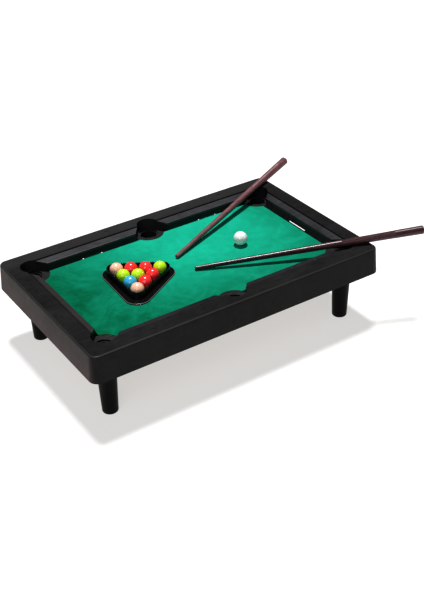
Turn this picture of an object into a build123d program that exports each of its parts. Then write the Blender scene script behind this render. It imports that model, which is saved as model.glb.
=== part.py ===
"""Table-top mini pool table: moulded frame on four hollow legs, bed, cushions, cups, balls, rack, cues.

Millimetres, +Z up, floor at Z = 0. The origin lies on the floor under the middle of the whole set,
so the table's own middle stands a little to -X, because both cues reach out past the +X end.
"""

import os
from math import atan2, cos, radians, sin, sqrt

from build123d import *

# --- Driving dimensions -------------------------------------------------------------------------

table_x, table_y = -23.2, 3.0  # middle of the table, seen from above

# Moulded frame
top_length = 306.0
top_width = 189.0
table_height = 80.0
skirt_height = 26.0
skirt_draft = 2.0  # how far the skirt stands out at its lower edge
skirt_wall = 2.2
top_thickness = 2.4
corner_radius = 7.0
edge_radius = 2.0

rib = 1.8
side_rib_x = (32.5, 104.0)
end_rib_y = 34.0
cross_rib_depth = 7.0

# Playing field, as half sizes from the table's middle
seam_x, seam_y = 137.5, 78.0  # seam between the rail top and the cushions
nose_x, nose_y = 129.2, 69.2  # nose of the cushions
bed_x, bed_y = 126.2, 68.3  # wall around the bed
wall_back_x, wall_back_y = 131.0, 71.6  # back of that wall

# Levels
felt_top = 70.0
felt_thickness = 0.4
bed_thickness = 2.8
nose_height = 77.6
shelf_top = 75.6
shelf_thickness = 2.0
wall_bottom = 64.4
seam_step = 1.6  # thickness of the step down from the rail top to the cushion shelf
ledge = 4.0  # how far the ledge under the bed reaches in

# Pockets
mid_pocket_y = 76.0
corner_pocket_x, corner_pocket_y = 129.6, 69.4
pocket_radius = 10.8
mid_throat_seam, mid_throat_nose = 11.0, 17.8  # half widths of a middle throat
corner_throat = 11.2  # half width of a corner throat
mid_bed_cut, corner_bed_cut = 15.6, 16.2  # radii cut out of the bed
cup_hole_radius = 8.2
cup_barrel_radius = 9.5
cup_flange_top = 69.2
cup_rim_drop = 1.8
mid_cup_bottom = 47.0
corner_cup_bottom = 62.2

# Legs, hollow, straight below the corner pockets
leg_top = 62.0
leg_top_radius = 9.45
leg_foot_radius = 7.2
leg_wall = 1.4
leg_floor = 2.4
leg_foot_round = 1.6
socket_wall = 2.0
socket_gap = 0.06

# Cushion strips and the pins that hold them in the shelf
seam_gap = 0.45
cushion_drop = 1.2  # below the rail top, at the seam
cushion_foot_x, cushion_foot_y = 0.4, 0.2  # how far the strip's lower edge stands in from its nose
nose_radius = 0.9
pin_radius, pin_length, pin_gap = 1.3, 3.4, 0.05
side_pins = (24.0, 67.0, 110.0)
end_pins = (-42.0, 0.0, 42.0)
side_pin_y, end_pin_x = 74.0, 134.2

# Bed tabs and the slots in the wall that take them
tab_x = 66.2
tab_width = 17.6
slot_width = 23.0
side_slot_height = 4.4
end_slot_width = 30.0
end_slot_height = 4.7
tab_reach = 2.6
fit_gap = 0.2  # between the bed, the cups and the frame

# Oval sights sunk in the rail tops
sight_x = (40.5, 91.0)
sight_y = 25.0
sight_length, sight_width, sight_depth = 6.0, 2.2, 0.3

# Balls and rack
ball_radius = 6.45
cue_ball_radius = 6.9
ball_pitch = 13.5  # along a row of racked balls
row_step = 12.1  # from one row to the next
rest_gap = 0.05  # under whatever can be picked up
rack_x, rack_y = -54.5, 1.8  # middle of the racked balls, from the table's middle
rack_turn = -31.3
rack_side = 42.6  # between the middles of the rack's rounded corners
rack_corner = 7.3  # inner radius of the rack's corners
rack_rim = 0.9
rack_height = 8.2
rack_flange = 4.6
rack_nose = 3.5  # how much further the flange reaches at the apex
rack_flange_thickness = 1.3
cue_ball_x, cue_ball_y = 60.7, 1.7

# Cues
cue_tip_radius = 2.0
cue_butt_radius = 4.1
cue_places = {  # tip x, tip y, heading and length
    "cue_far": (-4.2, 15.6, 23.4, 209.0),
    "cue_near": (-1.5, -12.7, -24.6, 221.5),
}
cue_clearance = 0.12
tip_round, butt_round = 0.7, 0.8
grip_start, grip_pitch, grip_rings, grip_depth = 141.0, 1.25, 42, 0.16

bed_top = felt_top - felt_thickness
bed_bottom = bed_top - bed_thickness
skirt_bottom = table_height - skirt_height
top_underside = table_height - top_thickness

all_parts = []


# --- Helpers ------------------------------------------------------------------------------------

def level(height):
    """Horizontal plane through the table's middle."""
    return Plane(origin=(table_x, table_y, height))


def above(x, y, height):
    """Horizontal plane through a point given from the table's middle."""
    return Plane(origin=(table_x + x, table_y + y, height))


def keep(builder, name):
    """Label a finished piece and put it on the list to be written."""
    builder.part.label = name
    all_parts.append(builder.part)


def four_ways(x, y):
    """The same point in each quarter of the table."""
    return [(end * x, side * y) for end in (-1, 1) for side in (-1, 1)]


mid_pockets = [(0.0, side * mid_pocket_y) for side in (-1, 1)]
corner_pockets = four_ways(corner_pocket_x, corner_pocket_y)
side_pin_places = [place for x in side_pins for place in four_ways(x, side_pin_y)]
end_pin_places = [(end * end_pin_x, y) for y in end_pins for end in (-1, 1)]
side_names = {-1: "near", 1: "far"}
end_names = {-1: "left", 1: "right"}


def pocket_outlines(grow=0.0):
    """Pocket rounds and the throats that join them to the field, in the sketch that is open."""
    with Locations(*mid_pockets, *corner_pockets):
        Circle(pocket_radius + grow)
    # A middle throat's sides run on past the nose to the wall around the bed.
    slope = (mid_throat_nose - mid_throat_seam) / (seam_y - nose_y)
    inner_y = bed_y - 4
    inner_half = mid_throat_seam + slope * (seam_y - inner_y)
    for side in (-1, 1):
        Polygon(
            (-inner_half - grow, side * inner_y),
            (inner_half + grow, side * inner_y),
            (mid_throat_seam + grow, side * seam_y),
            (-mid_throat_seam - grow, side * seam_y),
            align=None,
        )
    # A corner throat is a straight channel along the diagonal through its pocket.
    channel = 26.0
    reach = channel / 2 / sqrt(2)
    for end in (-1, 1):
        for side in (-1, 1):
            with Locations((end * (corner_pocket_x - reach), side * (corner_pocket_y - reach))):
                Rectangle(channel, 2 * (corner_throat + grow), rotation=45 * end * side)


def field_outline(grow=0.0):
    """The field inside the bed wall, with its pockets, in the sketch that is open."""
    Rectangle(2 * (bed_x + grow), 2 * (bed_y + grow))
    pocket_outlines(grow)


# --- Frame: one moulding with the skirt, rail tops, bed wall, pocket collars and leg sockets ------

wall = wall_back_x - nose_x  # thickness of the pocket collars and throat walls
collar_ledge = cup_barrel_radius + fit_gap

with BuildPart() as table_frame:
    # Drafted outer body with a soft top edge
    with BuildSketch(level(skirt_bottom)):
        RectangleRounded(
            top_length + 2 * skirt_draft, top_width + 2 * skirt_draft, corner_radius + skirt_draft
        )
    with BuildSketch(level(table_height)):
        RectangleRounded(top_length, top_width, corner_radius)
    loft()
    fillet(table_frame.faces().sort_by(Axis.Z)[-1].edges(), radius=edge_radius)
    # Hollow underside, open at the bottom
    with BuildSketch(level(skirt_bottom)):
        RectangleRounded(
            top_length + 2 * (skirt_draft - skirt_wall),
            top_width + 2 * (skirt_draft - skirt_wall),
            corner_radius + skirt_draft - skirt_wall,
        )
    with BuildSketch(level(top_underside)):
        RectangleRounded(
            top_length - 2 * skirt_wall, top_width - 2 * skirt_wall, corner_radius - skirt_wall
        )
    loft(mode=Mode.SUBTRACT)
    # Step and shelf that carry the cushions
    with BuildSketch(level(shelf_top - shelf_thickness)):
        Rectangle(2 * (seam_x + seam_step), 2 * (seam_y + seam_step))
        pocket_outlines(seam_step)
    extrude(amount=top_underside - shelf_top + shelf_thickness)
    # Wall around the bed, pocket collars and throat walls
    with BuildSketch(level(wall_bottom)):
        Rectangle(2 * wall_back_x, 2 * wall_back_y)
        pocket_outlines(wall)
    extrude(amount=shelf_top - wall_bottom)
    # Ribs under the rail tops, from the bed wall to the skirt
    side_rib_length = top_width / 2 - wall_back_y
    end_rib_length = top_length / 2 - wall_back_x
    with BuildSketch(level(wall_bottom)):
        side_rib_y = wall_back_y + side_rib_length / 2 - 0.5
        with Locations(*[place for x in side_rib_x for place in four_ways(x, side_rib_y)]):
            Rectangle(rib, side_rib_length)
        end_rib_x = wall_back_x + end_rib_length / 2 - 0.5
        with Locations(*four_ways(end_rib_x, end_rib_y)):
            Rectangle(end_rib_length, rib)
    extrude(amount=top_underside - wall_bottom)
    # Room above the cushion shelf
    with BuildSketch(level(shelf_top)):
        Rectangle(2 * seam_x, 2 * seam_y)
        pocket_outlines()
    extrude(amount=table_height - shelf_top, mode=Mode.SUBTRACT)
    # Field well, drafted from the cushions down to the bed, then straight down to the ledge
    with BuildSketch(level(bed_top)):
        Rectangle(2 * bed_x, 2 * bed_y)
    with BuildSketch(level(shelf_top)):
        Rectangle(2 * (nose_x - cushion_foot_x), 2 * (nose_y - cushion_foot_y))
    loft(mode=Mode.SUBTRACT)
    with BuildSketch(level(bed_bottom)):
        field_outline()
    extrude(amount=bed_top - bed_bottom, mode=Mode.SUBTRACT)
    with BuildSketch(level(bed_bottom)):
        pocket_outlines()
    extrude(amount=shelf_top - bed_bottom, mode=Mode.SUBTRACT)
    # Everything inside the ledge falls away
    with BuildSketch(level(wall_bottom)):
        Rectangle(2 * (bed_x - ledge), 2 * (bed_y - ledge))
        with Locations(*mid_pockets, *corner_pockets):
            Circle(collar_ledge)
    extrude(amount=bed_bottom - wall_bottom, mode=Mode.SUBTRACT)
    # Two cross ribs under the bed
    with BuildSketch(level(bed_bottom - cross_rib_depth)):
        with Locations((-side_rib_x[0], 0), (side_rib_x[0], 0)):
            Rectangle(rib, 2 * wall_back_y)
    extrude(amount=cross_rib_depth)
    # Leg sockets, each a tapered tube below its corner collar
    with BuildSketch(level(skirt_bottom)):
        with Locations(*corner_pockets):
            Circle(leg_top_radius + socket_gap + socket_wall)
    extrude(amount=bed_bottom - skirt_bottom)
    leg_taper = (leg_top_radius - leg_foot_radius) / leg_top
    for x, y in corner_pockets:
        with BuildSketch(above(x, y, skirt_bottom)):
            Circle(leg_foot_radius + leg_taper * skirt_bottom + socket_gap)
        with BuildSketch(above(x, y, leg_top + fit_gap / 2)):
            Circle(leg_top_radius + socket_gap)
        loft(mode=Mode.SUBTRACT)
    with BuildSketch(level(leg_top)):
        with Locations(*corner_pockets):
            Circle(collar_ledge)
    extrude(amount=bed_bottom - leg_top, mode=Mode.SUBTRACT)
    # Slots for the bed tabs in the long walls, and one open slot in each end wall
    with BuildSketch(level(bed_bottom)):
        with Locations(*four_ways(tab_x, wall_back_y)):
            Rectangle(slot_width, 4 * wall)
    extrude(amount=side_slot_height, mode=Mode.SUBTRACT)
    with BuildSketch(level(bed_bottom)):
        with Locations((-wall_back_x, 0), (wall_back_x, 0)):
            Rectangle(6 * wall, end_slot_width)
    extrude(amount=end_slot_height, mode=Mode.SUBTRACT)
    # Holes in the shelf for the cushions' pins
    with BuildSketch(level(shelf_top)):
        with Locations(*side_pin_places, *end_pin_places):
            Circle(pin_radius + pin_gap)
    extrude(amount=-shelf_thickness - 1, mode=Mode.SUBTRACT)
    # Oval sights in the rail tops
    with BuildSketch(level(table_height)):
        long_rail_y = (top_width / 2 + seam_y) / 2
        short_rail_x = (top_length / 2 + seam_x) / 2
        with Locations(*[place for x in sight_x for place in four_ways(x, long_rail_y)]):
            Ellipse(sight_length / 2, sight_width / 2)
        with Locations(*four_ways(short_rail_x, sight_y)):
            Ellipse(sight_width / 2, sight_length / 2)
    extrude(amount=-sight_depth, mode=Mode.SUBTRACT)
keep(table_frame, "table_frame")


# --- Cushions: six moulded strips on the shelf, their ends cut to the pocket throats --------------

corner_reach = sqrt(2) * corner_throat  # offset of a corner throat's sides, along X or Y


def cushion(name, outward, nose, foot, seam, plan, pins):
    """One strip: its cross-section run along the rail, kept inside its plan, on pins."""
    section = Plane(
        origin=(table_x, table_y, 0),
        x_dir=(outward[0], outward[1], 0),
        z_dir=(outward[1], -outward[0], 0),
    )
    with BuildPart() as strip:
        with BuildSketch(section) as profile:
            Polygon(
                (nose - foot, shelf_top),
                (nose, nose_height),
                (seam - seam_gap, table_height - cushion_drop),
                (seam - seam_gap, shelf_top),
                align=None,
            )
            fillet(profile.vertices().sort_by(Axis.Y)[2], radius=nose_radius)
        extrude(amount=top_length, both=True)
        with BuildSketch(level(shelf_top)):
            Polygon(*plan, align=None)
        extrude(amount=table_height - shelf_top, mode=Mode.INTERSECT)
        with BuildSketch(level(shelf_top)):
            with Locations(*pins):
                Circle(pin_radius)
        extrude(amount=-pin_length)
        chamfer(strip.faces().sort_by(Axis.Z)[: len(pins)].edges(), length=0.4)
    keep(strip, name)


corner_line = corner_pocket_x - corner_pocket_y  # x - y along the corner throats' middles
throat_slope = (mid_throat_nose - mid_throat_seam) / (seam_y - nose_y)
for side in (-1, 1):
    for end in (-1, 1):
        back, front = seam_y, nose_y - cushion_foot_y
        cushion(
            f"cushion_{side_names[side]}_{end_names[end]}",
            (0, side),
            nose_y,
            cushion_foot_y,
            seam_y,
            [
                (end * mid_throat_seam, side * back),
                (end * (mid_throat_seam + throat_slope * (back - front)), side * front),
                (end * (front + corner_line - corner_reach), side * front),
                (end * (back + corner_line - corner_reach), side * back),
            ],
            [(end * x, side * side_pin_y) for x in side_pins],
        )
for end in (-1, 1):
    back, front = seam_x, nose_x - cushion_foot_x
    back_half = back - corner_line - corner_reach
    front_half = front - corner_line - corner_reach
    cushion(
        f"cushion_{end_names[end]}_end",
        (end, 0),
        nose_x,
        cushion_foot_x,
        seam_x,
        [
            (end * back, -back_half),
            (end * front, -front_half),
            (end * front, front_half),
            (end * back, back_half),
        ],
        [(end * end_pin_x, y) for y in end_pins],
    )


# --- Bed and cloth ------------------------------------------------------------------------------

def bed_sheet(name, bottom, thickness):
    """Sheet with tabs for the wall's slots and a round cut at each pocket."""
    with BuildPart() as sheet:
        with BuildSketch(level(bottom)):
            Rectangle(2 * (bed_x - fit_gap), 2 * (bed_y - fit_gap))
            with Locations(*[(x, 0) for x in (-tab_x, tab_x)]):
                Rectangle(tab_width, 2 * (bed_y + tab_reach))
            with Locations(*mid_pockets):
                Circle(mid_bed_cut, mode=Mode.SUBTRACT)
            with Locations(*corner_pockets):
                Circle(corner_bed_cut, mode=Mode.SUBTRACT)
        extrude(amount=thickness)
    keep(sheet, name)


bed_sheet("bed_board", bed_bottom, bed_thickness)
bed_sheet("felt_cloth", bed_top, felt_thickness)


# --- Pocket cups: a flange inside the throat, a rim ring and a barrel ------------------------------

def pocket_cup(name, place, flange_radius, barrel_bottom, floor):
    """Cup on the bed ledge; floor is the thickness of its bottom, 0 where a leg takes over."""
    x, y = place
    with BuildPart() as cup:
        with BuildSketch(level(bed_bottom)):
            with Locations(place):
                Circle(flange_radius)
            with BuildSketch(mode=Mode.INTERSECT):
                field_outline(-fit_gap)
        extrude(amount=cup_flange_top - bed_bottom)
        with BuildSketch(above(x, y, barrel_bottom)):
            Circle(cup_barrel_radius)
        extrude(amount=bed_bottom - barrel_bottom)
        if floor:
            fillet(cup.faces().sort_by(Axis.Z)[0].edges(), radius=floor)
        with BuildSketch(above(x, y, cup_flange_top - cup_rim_drop)):
            Circle(cup_barrel_radius)
        extrude(amount=cup_rim_drop, mode=Mode.SUBTRACT)
        with BuildSketch(above(x, y, barrel_bottom + floor)):
            Circle(cup_hole_radius)
        extrude(amount=cup_flange_top - barrel_bottom - floor, mode=Mode.SUBTRACT)
    keep(cup, name)


cup_floor = 1.4
for place in mid_pockets:
    side = 1 if place[1] > 0 else -1
    pocket_cup(f"cup_{side_names[side]}_middle", place, mid_bed_cut - fit_gap, mid_cup_bottom, cup_floor)
for place in corner_pockets:
    end = 1 if place[0] > 0 else -1
    side = 1 if place[1] > 0 else -1
    name = f"cup_{side_names[side]}_{end_names[end]}"
    pocket_cup(name, place, corner_bed_cut - fit_gap, corner_cup_bottom, 0)


# --- Legs: tapered tubes, closed at the foot, wedged in their sockets -----------------------------

for x, y in corner_pockets:
    with BuildPart() as leg:
        with BuildSketch(above(x, y, 0)):
            Circle(leg_foot_radius)
        with BuildSketch(above(x, y, leg_top)):
            Circle(leg_top_radius)
        loft()
        fillet(leg.faces().sort_by(Axis.Z)[0].edges(), radius=leg_foot_round)
        with BuildSketch(above(x, y, leg_floor)):
            Circle(leg_foot_radius - leg_wall)
        with BuildSketch(above(x, y, leg_top)):
            Circle(leg_top_radius - leg_wall)
        loft(mode=Mode.SUBTRACT)
    end = 1 if x > 0 else -1
    side = 1 if y > 0 else -1
    keep(leg, f"leg_{side_names[side]}_{end_names[end]}")


# --- Rack and balls -----------------------------------------------------------------------------

def rack_plane(height):
    """Horizontal plane through the middle of the racked balls, turned with the rack."""
    turn = radians(rack_turn)
    origin = (table_x + rack_x, table_y + rack_y, height)
    return Plane(origin=origin, x_dir=(cos(turn), sin(turn), 0), z_dir=(0, 0, 1))


def rack_outline(grow, nose=0.0):
    """Triangle about the middle of the racked balls, grown to a rounded outline.

    It is even-sided, but for the apex, which nose pushes outwards.
    """
    middle_to_side = rack_side / (2 * sqrt(3))
    Polygon(
        (-rack_side / 2, middle_to_side),
        (rack_side / 2, middle_to_side),
        (0, -2 * middle_to_side - nose),
        align=None,
    )
    offset(amount=grow)


rack_base = felt_top + rest_gap
with BuildPart() as triangle_rack:
    with BuildSketch(rack_plane(rack_base)):
        rack_outline(rack_corner + rack_rim + rack_flange, rack_nose)
    extrude(amount=rack_flange_thickness)
    fillet(triangle_rack.faces().sort_by(Axis.Z)[-1].edges(), radius=0.7)
    with BuildSketch(rack_plane(rack_base)):
        rack_outline(rack_corner + rack_rim)
    extrude(amount=rack_height)
    with BuildSketch(rack_plane(rack_base)):
        rack_outline(rack_corner)
    extrude(amount=rack_height, mode=Mode.SUBTRACT)
    fillet(triangle_rack.faces().sort_by(Axis.Z)[-1].edges(), radius=0.35)
keep(triangle_rack, "triangle_rack")

# Rows from the back of the rack to its apex, each from left to right
ball_rows = [("peach", "red", "red", "lime"), ("lime", "lime", "red"), ("blue", "red"), ("peach",)]


def ball(name, centre, radius):
    """Plain solid ball."""
    with BuildPart() as sphere:
        with Locations(centre):
            Sphere(radius)
    keep(sphere, name)


number = 0
for row, colours in enumerate(ball_rows):
    for column, colour in enumerate(colours):
        number += 1
        along = (column - (len(colours) - 1) / 2) * ball_pitch
        resting = rack_plane(felt_top + rest_gap + ball_radius)
        centre = resting.from_local_coords((along, (1 - row) * row_step))
        ball(f"ball_{number:02d}_{colour}", centre, ball_radius)
cue_ball_height = felt_top + rest_gap + cue_ball_radius
ball("cue_ball", (table_x + cue_ball_x, table_y + cue_ball_y, cue_ball_height), cue_ball_radius)


# --- Cues: each rests its tip on the cloth and its shaft on the rim of a corner pocket -------------

def cue_radius(distance, length):
    """Radius of the tapered shaft at a distance from its tip."""
    return cue_tip_radius + (cue_butt_radius - cue_tip_radius) * distance / length


def cue_line(x, y, heading, length):
    """Middle of the cue's tip and the direction of its axis towards the butt."""
    turn = radians(heading)
    side = 1 if heading > 0 else -1
    to_pocket = (corner_pocket_x - x, side * corner_pocket_y - y)
    along = to_pocket[0] * cos(turn) + to_pocket[1] * sin(turn)
    beside_squared = to_pocket[0] ** 2 + to_pocket[1] ** 2 - along**2
    to_rim = along + sqrt(pocket_radius**2 - beside_squared)
    rise = table_height + cue_radius(to_rim, length) - felt_top - cue_tip_radius
    pitch = atan2(rise, to_rim)
    tip = (table_x + x, table_y + y, felt_top + cue_tip_radius + cue_clearance)
    return tip, (cos(turn) * cos(pitch), sin(turn) * cos(pitch), sin(pitch))


for name, (x, y, heading, length) in cue_places.items():
    tip, direction = cue_line(x, y, heading, length)
    turn = radians(heading)
    along_cue = Plane(origin=tip, x_dir=direction, z_dir=(sin(turn), -cos(turn), 0))
    grip = []
    for ring in range(grip_rings):
        start = grip_start + ring * grip_pitch
        middle = start + grip_pitch / 2
        grip.append((start, cue_radius(start, length)))
        grip.append((middle, cue_radius(middle, length) - grip_depth))
    grip_end = grip_start + grip_rings * grip_pitch
    with BuildPart() as cue:
        with BuildSketch(along_cue):
            with BuildLine():
                Polyline(
                    (0, 0),
                    (0, cue_tip_radius - tip_round),
                    (tip_round, cue_tip_radius),
                    *grip,
                    (grip_end, cue_radius(grip_end, length)),
                    (length - butt_round, cue_butt_radius),
                    (length, cue_butt_radius - butt_round),
                    (length, 0),
                    close=True,
                )
            make_face()
        revolve(axis=Axis(tip, direction))
    keep(cue, name)

os.makedirs("parts", exist_ok=True)
for part in all_parts:
    export_step(part, f"parts/{part.label}.step")
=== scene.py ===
"""Looks of the mini pool table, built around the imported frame. Metres, in the frame's own axes."""

from math import pi, radians

import bmesh
import bpy
from mathutils import Matrix, Vector, noise


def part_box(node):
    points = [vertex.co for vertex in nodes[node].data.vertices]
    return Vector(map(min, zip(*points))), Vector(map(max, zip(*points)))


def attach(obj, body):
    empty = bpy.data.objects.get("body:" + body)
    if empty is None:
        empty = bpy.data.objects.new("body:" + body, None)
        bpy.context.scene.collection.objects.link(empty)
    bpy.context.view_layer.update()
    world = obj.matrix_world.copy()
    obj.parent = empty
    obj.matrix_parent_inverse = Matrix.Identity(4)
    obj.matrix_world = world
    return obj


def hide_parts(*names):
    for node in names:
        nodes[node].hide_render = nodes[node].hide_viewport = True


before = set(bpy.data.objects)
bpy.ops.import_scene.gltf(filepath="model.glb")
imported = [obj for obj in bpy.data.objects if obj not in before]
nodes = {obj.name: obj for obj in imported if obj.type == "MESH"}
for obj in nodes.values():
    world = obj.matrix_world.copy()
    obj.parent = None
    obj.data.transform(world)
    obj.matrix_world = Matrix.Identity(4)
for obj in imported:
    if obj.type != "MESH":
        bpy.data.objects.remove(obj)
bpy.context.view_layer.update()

MM = 0.001

frame_low, frame_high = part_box("table_frame")
table_middle = (frame_low + frame_high) / 2
table_top = frame_high.z


# --- Camera -------------------------------------------------------------------------------------

CAMERA_HEADING = radians(32.72)  # from +Y towards +X
CAMERA_DIP = radians(32.9)  # below the horizon
CAMERA_ROLL = radians(-1.78)
CAMERA_LENS = 61.27  # mm
CAMERA_SENSOR = 36  # mm
CAMERA_CLIP = (0.01, 50)
CAMERA_OFFSET = Vector((-0.43197, -0.71052, 0))  # from the table's middle
CAMERA_HEIGHT = 0.56648


def make_camera():
    """The camera at the viewing angle of the reference."""
    data = bpy.data.cameras.new("camera")
    data.sensor_width = CAMERA_SENSOR
    data.lens = CAMERA_LENS
    data.clip_start, data.clip_end = CAMERA_CLIP
    camera = bpy.data.objects.new("camera", data)
    bpy.context.scene.collection.objects.link(camera)
    place = Vector((table_middle.x, table_middle.y, CAMERA_HEIGHT)) + CAMERA_OFFSET
    turn = Matrix.Rotation(-CAMERA_HEADING, 4, "Z") @ Matrix.Rotation(pi / 2 - CAMERA_DIP, 4, "X")
    roll = Matrix.Rotation(CAMERA_ROLL, 4, "Z")
    camera.matrix_world = Matrix.Translation(place) @ turn @ roll
    bpy.context.scene.camera = camera


# --- Light --------------------------------------------------------------------------------------

WORLD_STRENGTH = 0.06
KEY_DIRECTION = Vector((0.12, 0.19, 0.98))  # from the table towards the light
KEY_STRENGTH = 4.3
KEY_ANGLE = radians(9)
FILL_DIRECTION = Vector((-0.58, -0.54, 0.61))
FILL_DISTANCE = 1.2
FILL_SIZE = 0.7
FILL_WATTS = 4.4
VIEW_GAMMA = 0.75


def add_light(name, kind, energy, direction):
    """A light that shines from a direction; gives its object."""
    data = bpy.data.lights.new(name, kind)
    data.energy = energy
    light = bpy.data.objects.new(name, data)
    bpy.context.scene.collection.objects.link(light)
    light.rotation_mode = "QUATERNION"
    light.rotation_quaternion = direction.to_track_quat("Z", "Y")
    return light


def make_light():
    """Dim white surroundings, a crisp key from above and a soft fill from the front left."""
    world = bpy.data.worlds.new("studio")
    bpy.context.scene.world = world
    world.use_nodes = True
    background = world.node_tree.nodes["Background"]
    background.inputs["Color"].default_value = (1, 1, 1, 1)
    background.inputs["Strength"].default_value = WORLD_STRENGTH

    key = add_light("key", "SUN", KEY_STRENGTH, KEY_DIRECTION)
    key.data.angle = KEY_ANGLE

    fill = add_light("fill", "AREA", FILL_WATTS, FILL_DIRECTION)
    fill.data.size = FILL_SIZE
    aim = Vector((table_middle.x, table_middle.y, table_top))
    fill.location = aim + FILL_DIRECTION.normalized() * FILL_DISTANCE

    bpy.context.scene.view_settings.view_transform = "Standard"
    bpy.context.scene.view_settings.gamma = VIEW_GAMMA


# --- Shader -------------------------------------------------------------------------------------

BEVEL_SAMPLES = 4


class Shader:
    """A Principled material with short names for the nodes that feed it."""

    def __init__(self, name):
        self.material = bpy.data.materials.new(name)
        self.material.use_nodes = True
        self.tree = self.material.node_tree
        self.main = self.tree.nodes["Principled BSDF"]
        self.place = self.tree.nodes.new("ShaderNodeTexCoord").outputs["Object"]
        self.body = None  # the output that feeds the base colour

    def set(self, **values):
        """Constants on the shader's own sockets; underscores stand for spaces."""
        for name, value in values.items():
            self.main.inputs[name.replace("_", " ")].default_value = value

    def link(self, output, socket):
        self.tree.links.new(output, socket)

    def stretched(self, scale, turn=(0, 0, 0)):
        """The place vector, scaled and turned."""
        mapping = self.tree.nodes.new("ShaderNodeMapping")
        mapping.inputs["Scale"].default_value = scale
        mapping.inputs["Rotation"].default_value = turn
        self.link(self.place, mapping.inputs["Vector"])
        return mapping.outputs["Vector"]

    def noise(self, scale, detail=3.0, roughness=0.55, distortion=0.0, vector=None):
        node = self.tree.nodes.new("ShaderNodeTexNoise")
        node.inputs["Scale"].default_value = scale
        node.inputs["Detail"].default_value = detail
        node.inputs["Roughness"].default_value = roughness
        node.inputs["Distortion"].default_value = distortion
        self.link(vector or self.place, node.inputs["Vector"])
        return node.outputs["Fac"]

    def ranged(self, value, low, high, new_low=0.0, new_high=1.0):
        """value mapped from low..high to new_low..new_high, clamped."""
        node = self.tree.nodes.new("ShaderNodeMapRange")
        for name, number in (
            ("From Min", low), ("From Max", high), ("To Min", new_low), ("To Max", new_high),
        ):
            node.inputs[name].default_value = number
        self.link(value, node.inputs["Value"])
        return node.outputs["Result"]

    def math(self, operation, first, second):
        """A Math node on two outputs or numbers."""
        node = self.tree.nodes.new("ShaderNodeMath")
        node.operation = operation
        for socket, value in zip(node.inputs, (first, second)):
            if isinstance(value, (int, float)):
                socket.default_value = value
            else:
                self.link(value, socket)
        return node.outputs["Value"]

    def sum(self, first, second):
        return self.math("ADD", first, second)

    def times(self, first, second):
        return self.math("MULTIPLY", first, second)

    def larger(self, first, second):
        return self.math("MAXIMUM", first, second)

    def mixed(self, factor, first, second):
        """Colour mix; first and second are colours or outputs."""
        node = self.tree.nodes.new("ShaderNodeMix")
        node.data_type = "RGBA"
        self.link(factor, node.inputs["Factor"])
        for name, value in (("A", first), ("B", second)):
            socket = [s for s in node.inputs if s.name == name and s.type == "RGBA"][0]
            if isinstance(value, tuple):
                socket.default_value = (*value, 1)
            else:
                self.link(value, socket)
        return [s for s in node.outputs if s.type == "RGBA"][0]

    def bump(self, height, distance, strength=1.0, normal=None):
        """Normal raised by height, over another normal where one is given."""
        node = self.tree.nodes.new("ShaderNodeBump")
        node.inputs["Distance"].default_value = distance
        node.inputs["Strength"].default_value = strength
        self.link(height, node.inputs["Height"])
        if normal:
            self.link(normal, node.inputs["Normal"])
        return node.outputs["Normal"]

    def along(self, axis, low, high):
        """0 to 1 between two places along X, Y or Z, eased at both ends."""
        parts = self.tree.nodes.new("ShaderNodeSeparateXYZ")
        self.link(self.place, parts.inputs["Vector"])
        node = self.tree.nodes.new("ShaderNodeMapRange")
        node.interpolation_type = "SMOOTHSTEP"
        node.inputs["From Min"].default_value = low
        node.inputs["From Max"].default_value = high
        self.link(parts.outputs[axis], node.inputs["Value"])
        return node.outputs["Result"]

    def facing(self, axis, low, high):
        """0 to 1 as a face's normal turns from low to high along X, Y or Z."""
        geometry = self.tree.nodes.new("ShaderNodeNewGeometry")
        parts = self.tree.nodes.new("ShaderNodeSeparateXYZ")
        self.link(geometry.outputs["Normal"], parts.inputs["Vector"])
        return self.ranged(parts.outputs[axis], low, high)

    def edges(self, radius):
        """1 on edges sharper than radius, 0 on flat faces."""
        bevel = self.tree.nodes.new("ShaderNodeBevel")
        bevel.samples = BEVEL_SAMPLES
        bevel.inputs["Radius"].default_value = radius
        geometry = self.tree.nodes.new("ShaderNodeNewGeometry")
        dot = self.tree.nodes.new("ShaderNodeVectorMath")
        dot.operation = "DOT_PRODUCT"
        self.link(bevel.outputs["Normal"], dot.inputs[0])
        self.link(geometry.outputs["Normal"], dot.inputs[1])
        return self.ranged(dot.outputs["Value"], 0.98, 0.80)

    def colour(self, output):
        self.body = output
        self.link(output, self.main.inputs["Base Color"])

    def cover(self, mask, colour):
        """Lay another colour over the base colour where mask is 1."""
        self.colour(self.mixed(mask, self.body, colour))

    def rough(self, output):
        self.link(output, self.main.inputs["Roughness"])

    def normal(self, output):
        self.link(output, self.main.inputs["Normal"])


# --- Materials ----------------------------------------------------------------------------------

WEAR_AND_HIGHLIGHT_EDGE = 0.35 * MM
EDGE_PALER = 1.5  # worn edges against the light colour, where no colour is given
SMEAR_STRETCH = (1, 2.5, 1)
SMEAR_TURN = (0, 0, 0.5)
TERMINATOR_OFFSET = 0.25  # hides facets where light fades on round pieces

BALL_COLOURS = {
    "red": (0.96, 0.065, 0.07),
    "lime": (0.58, 0.88, 0.04),
    "blue": (0.085, 0.50, 0.72),
    "peach": (0.97, 0.60, 0.45),
    "white": (0.98, 0.98, 0.97),
}
BALL_SWIRL = 0.92  # darker part of a ball's swirl

CUE_TURN_START, CUE_TURN_END = 40 * MM, 120 * MM  # where tip colour turns to butt colour


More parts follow.
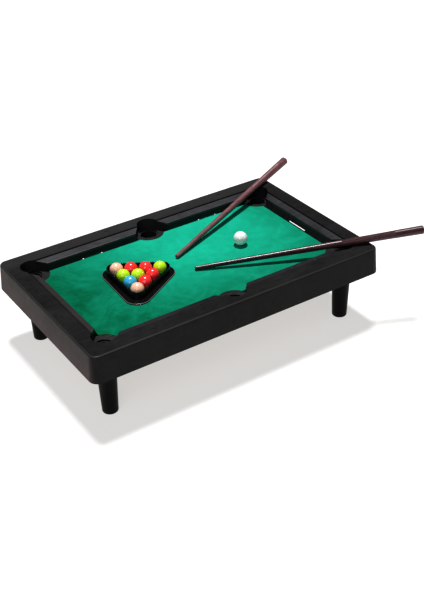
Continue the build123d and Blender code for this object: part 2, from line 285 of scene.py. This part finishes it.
def moulded_plastic(name, dark, light, gloss, grain, specular, edge=None):
    """Moulded plastic: cloudy colour, fine grain, rub marks, and paler edges: wear by default, a
    painted highlight where an edge colour is given.
    """
    shader = Shader(name)
    clouds = shader.noise(14, detail=4, roughness=0.6, distortion=0.6)
    streaked = shader.stretched(SMEAR_STRETCH, SMEAR_TURN)
    smears = shader.noise(60, detail=5, roughness=0.65, distortion=1.2, vector=streaked)
    uneven = shader.sum(clouds, smears)
    shader.colour(shader.mixed(shader.ranged(uneven, 0.75, 1.3), dark, light))
    # Paler edges: wear by default; where an edge colour is given, a painted highlight.
    patchy = shader.ranged(shader.noise(220), 0.4, 0.7)
    wear_and_highlight = shader.times(shader.edges(WEAR_AND_HIGHLIGHT_EDGE), patchy)
    shader.cover(wear_and_highlight, edge or tuple(EDGE_PALER * c for c in light))
    shader.rough(shader.ranged(uneven, 0.7, 1.35, gloss - 0.07, gloss + 0.09))
    shader.set(Specular_IOR_Level=specular)
    fine = shader.bump(shader.noise(3200, detail=2, roughness=0.5), 0.02 * MM, grain)
    broad = shader.noise(35, detail=2, roughness=0.5)
    shader.normal(shader.bump(broad, 0.25 * MM, 0.12, fine))
    return shader


def frame_plastic():
    """The frame's satin plastic, with painted reflections on the far rail, the rounded edges and the
    left end.
    """
    shader = moulded_plastic(
        "frame_plastic", dark=(0.016, 0.0155, 0.0155), light=(0.029, 0.028, 0.028),
        gloss=0.38, grain=0.35, specular=0.13,
    )
    # Painted reflection: the far rail is made paler.
    far = shader.along("Y", frame_high.y - 30 * MM, frame_high.y - 12 * MM)
    shader.cover(shader.times(far, 0.65), (0.052, 0.051, 0.051))

    # Painted highlight on the rounded edges of the top.
    round_edge_highlight = shader.times(shader.facing("Z", 0.45, 0.7), shader.facing("Z", 0.99, 0.92))
    shader.cover(round_edge_highlight, (0.048, 0.046, 0.046))

    # Painted warm reflection on the left end's outer skirt, stronger towards the bottom.
    outside = shader.along("X", frame_low.x + 9 * MM, frame_low.x + 3 * MM)
    warm_reflection = shader.times(shader.facing("X", -0.8, -0.97), outside)
    lower = shader.ranged(shader.along("Z", frame_low.z, frame_high.z), 0, 1, 1, 0.3)
    shader.cover(shader.times(warm_reflection, lower), (0.066, 0.042, 0.040))
    return shader.material


def cushion_plastic():
    """The cushions' plastic, with painted warm light at the left end and painted shade in the left
    and near seams.
    """
    shader = moulded_plastic(
        "cushion_plastic", dark=(0.014, 0.0138, 0.0172), light=(0.027, 0.0265, 0.034),
        gloss=0.42, grain=0.05, specular=0.6,
    )
    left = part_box("cushion_left_end")[0].x
    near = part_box("cushion_near_left")[0].y
    # Painted warm light on the left end.
    shader.cover(shader.along("X", left + 12 * MM, left + 8 * MM), (0.036, 0.030, 0.029))
    # Painted shade in the left and near seams.
    seam_shade = shader.larger(
        shader.along("X", left + 2.8 * MM, left + 2.2 * MM),
        shader.along("Y", near + 2.2 * MM, near + 1.6 * MM),
    )
    shader.cover(seam_shade, (0.003, 0.003, 0.003))
    return shader.material


def cup_plastic():
    """The pocket cups' satin plastic, with painted highlights on the edges of the flange and the rim
    ring.
    """
    return moulded_plastic(
        "cup_plastic", dark=(0.016, 0.016, 0.017), light=(0.034, 0.034, 0.036),
        gloss=0.42, grain=0.2, specular=0.4, edge=(0.26, 0.26, 0.26),
    ).material


def leg_plastic():
    """The legs' deep black plastic."""
    return moulded_plastic(
        "leg_plastic", dark=(0.002, 0.002, 0.002), light=(0.0045, 0.0045, 0.0043),
        gloss=0.42, grain=0.3, specular=0.14,
    ).material


def rack_plastic():
    """The rack's glossy plastic, with a painted highlight along the rounded edge of its flange and
    on its sharp edges.
    """
    # The edge colour is a painted highlight on the sharp edges.
    shader = moulded_plastic(
        "rack_plastic", dark=(0.006, 0.0057, 0.006), light=(0.012, 0.0113, 0.012),
        gloss=0.17, grain=0.03, specular=0.3, edge=(0.10, 0.09, 0.09),
    )
    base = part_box("triangle_rack")[0].z
    # Painted highlight along the flange's rounded edge.
    bead_highlight = shader.times(shader.facing("Z", 0.2, 0.5), shader.facing("Z", 0.98, 0.86))
    flange = shader.along("Z", base + 1.9 * MM, base + 1.4 * MM)
    shader.cover(shader.times(bead_highlight, flange), (0.22, 0.20, 0.20))
    return shader.material


def ball_plastic(name, colour):
    """Glossy solid-coloured plastic with a faint swirl under a clear skin."""
    shader = Shader(name)
    swirl = shader.noise(160, roughness=0.5, distortion=2.5)
    deeper = tuple(BALL_SWIRL * c for c in colour)
    shader.colour(shader.mixed(shader.ranged(swirl, 0.35, 0.7), deeper, colour))
    shader.rough(shader.ranged(shader.noise(300, detail=2), 0.3, 0.8, 0.16, 0.24))
    shader.set(
        Specular_IOR_Level=0.5, Coat_Weight=0.35, Coat_Roughness=0.3,
        Subsurface_Weight=0.5, Subsurface_Scale=3.5 * MM, Subsurface_Radius=(1, 1, 1),
    )
    return shader.material


def painted_light_falloff(shader):
    """0 to 1: painted light, brightest in the middle and far side, falling off towards both ends and
    the near side.
    """
    x, y = table_middle.x, table_middle.y
    left = shader.along("X", x - 130 * MM, x + 5 * MM)
    right = shader.ranged(shader.along("X", x + 70 * MM, x + 150 * MM), 0, 1, 1, 0.5)
    near = shader.ranged(shader.along("Y", y - 85 * MM, y + 20 * MM), 0, 1, 0.25, 1)
    return shader.times(shader.times(left, right), near)


def cloth_green():
    """Flocked green cloth: painted light falloff, mottling and fine fibres."""
    shader = Shader("felt")
    patches = shader.noise(14, detail=2, roughness=0.5, distortion=0.8)
    swirls = shader.noise(26, roughness=0.5, distortion=3.2)
    mottle = shader.noise(120, detail=4, roughness=0.6, distortion=1.2)
    fibres = shader.noise(2600, roughness=0.6)
    marks = shader.sum(shader.times(patches, 0.42), shader.times(swirls, 0.36))
    marks = shader.ranged(shader.sum(marks, shader.times(mottle, 0.22)), 0.40, 0.60)
    # Painted light falloff, with the mottling marks laid over it.
    painted_light_and_marks = shader.sum(shader.times(painted_light_falloff(shader), 0.76), shader.times(marks, 0.24))
    shader.colour(shader.mixed(painted_light_and_marks, (0.0004, 0.092, 0.037), (0.018, 0.44, 0.305)))
    shader.cover(shader.ranged(fibres, 0.3, 0.75, 0.0, 0.10), (0.014, 0.46, 0.31))
    shader.rough(shader.ranged(mottle, 0.3, 0.7, 0.82, 0.95))
    shader.set(
        Specular_IOR_Level=0.02,
        Sheen_Weight=0.03, Sheen_Roughness=0.5, Sheen_Tint=(0.05, 0.8, 0.5, 1),
    )
    nap = shader.bump(fibres, 0.12 * MM, 0.6)
    shader.normal(shader.bump(mottle, 0.2 * MM, 0.3, nap))
    return shader.material


def hardboard():
    """Pressed brown board with fine fibres."""
    shader = Shader("hardboard")
    pressed = shader.stretched((1, 3, 8))
    fibres = shader.noise(700, detail=5, roughness=0.7, distortion=1.0, vector=pressed)
    shader.colour(shader.mixed(fibres, (0.16, 0.09, 0.045), (0.34, 0.21, 0.12)))
    shader.set(Roughness=0.8, Specular_IOR_Level=0.2)
    shader.normal(shader.bump(fibres, 0.1 * MM, 0.5))
    return shader.material


def cue_plastic(name, side, tip, butt, light, gloss):
    """Streaked plastic, streaks along the cue; side is 1 where the cue runs to +Y, else -1."""
    shader = Shader(name)
    low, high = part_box(name)
    heading = side * (high.y - low.y) / (high.x - low.x)
    lengthways = shader.stretched((0.05, 1, 1), (0, 0, -heading))
    streaks = shader.noise(420, detail=4, roughness=0.6, distortion=0.4, vector=lengthways)
    blotches = shader.noise(70, roughness=0.6)
    shader.colour(
        shader.mixed(shader.along("X", low.x + CUE_TURN_START, low.x + CUE_TURN_END), tip, butt)
    )
    shader.cover(shader.ranged(shader.sum(streaks, blotches), 0.7, 1.3), light)
    shader.rough(shader.ranged(streaks, 0.3, 0.7, gloss - 0.05, gloss + 0.08))
    shader.set(Specular_IOR_Level=0.5)
    shader.normal(shader.bump(streaks, 0.01 * MM, 0.15))
    return shader.material


def paint(node, material):
    """Give a CAD node this material in every slot."""
    mesh = nodes[node].data
    mesh.materials.clear()
    mesh.materials.append(material)
    nodes[node].cycles.shadow_terminator_offset = TERMINATOR_OFFSET


def paint_cad():
    """Materials for the CAD nodes that stay in view."""
    finishes = {
        "table": frame_plastic(),
        "cushion": cushion_plastic(),
        "cup": cup_plastic(),
        "leg": leg_plastic(),
        "triangle": rack_plastic(),
        "bed": hardboard(),
    }
    balls = {name: ball_plastic(f"ball_{name}", colour) for name, colour in BALL_COLOURS.items()}
    for node in nodes:
        kind, *_, last = node.split("_")
        if kind == "ball":
            paint(node, balls[last])
        elif kind in finishes:
            paint(node, finishes[kind])
    paint("cue_ball", balls["white"])
    paint("cue_far", cue_plastic(
        "cue_far", side=1, tip=(0.15, 0.078, 0.074), butt=(0.14, 0.055, 0.064),
        light=(0.26, 0.13, 0.135), gloss=0.45,
    ))
    paint("cue_near", cue_plastic(
        "cue_near", side=-1, tip=(0.010, 0.005, 0.006), butt=(0.065, 0.022, 0.028),
        light=(0.085, 0.04, 0.044), gloss=0.28,
    ))


# --- Felt cloth ---------------------------------------------------------------------------------

CELL = 2.5 * MM  # spacing of the cloth's mesh
WELD = 0.001 * MM
RIM_DEPTH = 0.01 * MM  # vertices this near the top are on the top's rim
CUT_ROUNDING = 0.15 * MM
SKIN_DEPTH = 0.05 * MM  # vertices this near the top ripple
RIPPLE = 0.06 * MM
RIPPLE_SHARE = 0.66  # of RIPPLE, so that crests stay below the CAD solid's top
RIPPLES_PER_M = 30
FINE_RIPPLES = 3.1  # times as many, half as high


def cut_in_cells(mesh, low, high):
    """Divide a bmesh by planes across X and Y, one cell apart."""
    for axis in (0, 1):
        normal = Vector((axis == 0, axis == 1, 0))
        steps = int((high[axis] - low[axis]) / CELL)
        for step in range(1, steps + 1):
            place = low[axis] + step * CELL
            everything = mesh.verts[:] + mesh.edges[:] + mesh.faces[:]
            bmesh.ops.bisect_plane(
                mesh, geom=everything, plane_co=Vector((place, place, 0)), plane_no=normal,
            )


def ripple(place):
    """Height of the cloth's ripples at a place, at most 1.5 up or down."""
    coarse = place * RIPPLES_PER_M
    return noise.noise(coarse) + 0.5 * noise.noise(coarse * FINE_RIPPLES)


def felt_mesh(low, high):
    """The CAD outline as a fine mesh with a softened cut edge and slight ripples."""
    mesh = bmesh.new()
    mesh.from_mesh(nodes["felt_cloth"].data)
    bmesh.ops.remove_doubles(mesh, verts=mesh.verts, dist=WELD)
    bmesh.ops.dissolve_limit(mesh, angle_limit=radians(1), verts=mesh.verts, edges=mesh.edges)
    rims = [e for e in mesh.edges if all(v.co.z > high.z - RIM_DEPTH for v in e.verts)]
    bmesh.ops.bevel(
        mesh, geom=rims, offset=CUT_ROUNDING, segments=2, profile=0.5, affect="EDGES",
    )
    cut_in_cells(mesh, low, high)
    for vert in mesh.verts:
        if vert.co.z > high.z - SKIN_DEPTH:
            vert.co.z = high.z - RIPPLE + RIPPLE * RIPPLE_SHARE * ripple(vert.co)
    for face in mesh.faces:
        face.smooth = True
    data = bpy.data.meshes.new("felt")
    mesh.to_mesh(data)
    mesh.free()
    data.set_sharp_from_angle(angle=radians(40))
    return data


def make_felt():
    """The cloth that lies glued on the bed, in place of its CAD solid."""
    low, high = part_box("felt_cloth")
    data = felt_mesh(low, high)
    data.materials.append(cloth_green())
    felt = bpy.data.objects.new("felt", data)
    bpy.context.scene.collection.objects.link(felt)
    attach(felt, "table")
    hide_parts("felt_cloth")


# --- Floor and surroundings ---------------------------------------------------------------------

FLOOR_SIZE = 12
DOME_RADIUS = 5.8


def glowing(name, base, colour, strength):
    """Matt pale material with a glow, for the stage."""
    shader = Shader(name)
    shader.set(Base_Color=(base, base, base, 1), Roughness=0.9, Specular_IOR_Level=0.1)
    shader.set(Emission_Color=(*colour, 1), Emission_Strength=strength)
    return shader.material


def make_stage():
    """Plain pale floor, and a white dome that only the camera sees."""
    bpy.ops.mesh.primitive_plane_add(size=FLOOR_SIZE, location=(0, 0, 0))
    floor = bpy.context.object
    floor.name = "floor"
    floor.data.materials.append(glowing("floor", base=0.4, colour=(1, 0.99, 0.975), strength=0.64))
    bpy.ops.mesh.primitive_ico_sphere_add(subdivisions=4, radius=DOME_RADIUS, location=(0, 0, 0))
    dome = bpy.context.object
    dome.name = "dome"
    dome.data.materials.append(glowing("dome", base=0.8, colour=(1, 1, 1), strength=1.1))
    for rays in ("diffuse", "glossy", "transmission", "shadow", "volume_scatter"):
        setattr(dome, f"visible_{rays}", False)


make_camera()
make_light()
make_stage()
paint_cad()
make_felt()
